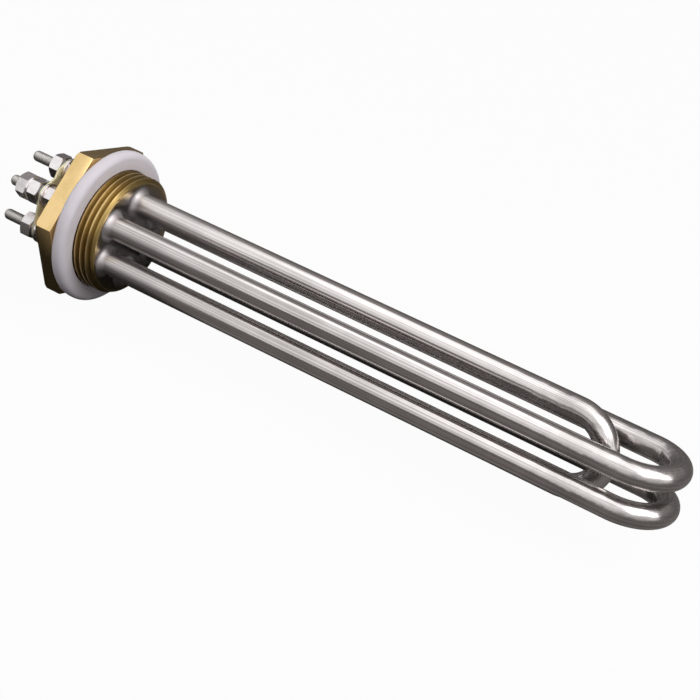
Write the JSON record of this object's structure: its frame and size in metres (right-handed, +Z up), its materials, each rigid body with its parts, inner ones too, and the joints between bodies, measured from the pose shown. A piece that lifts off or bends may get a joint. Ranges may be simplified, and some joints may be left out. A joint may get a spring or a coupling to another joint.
{
  "type": "screw plug immersion heater",
  "caption": "Immersion heater: U-bent stainless tubes brazed into a brass hexagon screw plug with a pale sealing ring, and threaded terminals joined by bus strips behind it.",
  "frame": {"origin": "centre of the gasket's sealing face, on the plug's axis", "axes": "+X along the plug's axis towards the bends, +Z up through the middle U's upper leg, terminals towards -X"},
  "size_m": [0.254, 0.0564, 0.054],
  "materials": {
    "brass": "turned, satin",
    "silicone": "soft, milky",
    "braze": "flowed braze metal",
    "stainless": "drawn and polished",
    "magnesia": "packed powder",
    "coil_wire": "resistance wire",
    "stud_steel": "threaded, dull",
    "bead": "matt",
    "zinc": "bright plated",
    "spring_steel": "dull",
    "strip_brass": "rolled sheet"
  },
  "bodies": {
    "root": {"screw_plug": "brass", "sealing_gasket": "silicone", "braze_fillets": "braze", "seat_nuts": "zinc", "flat_washers": "zinc", "front_bus_strip": "strip_brass", "rear_bus_strip": "strip_brass", "spring_washers": "spring_steel", "clamp_nuts": "zinc", "wire_washers": "zinc", "wire_nuts": "zinc", "upper_sheath": "stainless", "upper_insulation": "magnesia", "upper_heating_coil": "coil_wire", "upper_terminal_pins": "stud_steel", "upper_end_beads": "bead", "lower_sheath": "stainless", "lower_insulation": "magnesia", "lower_heating_coil": "coil_wire", "lower_terminal_pins": "stud_steel", "lower_end_beads": "bead", "middle_sheath": "stainless", "middle_insulation": "magnesia", "middle_heating_coil": "coil_wire", "middle_terminal_pins": "stud_steel", "middle_end_beads": "bead"}
  },
  "joints": []
}
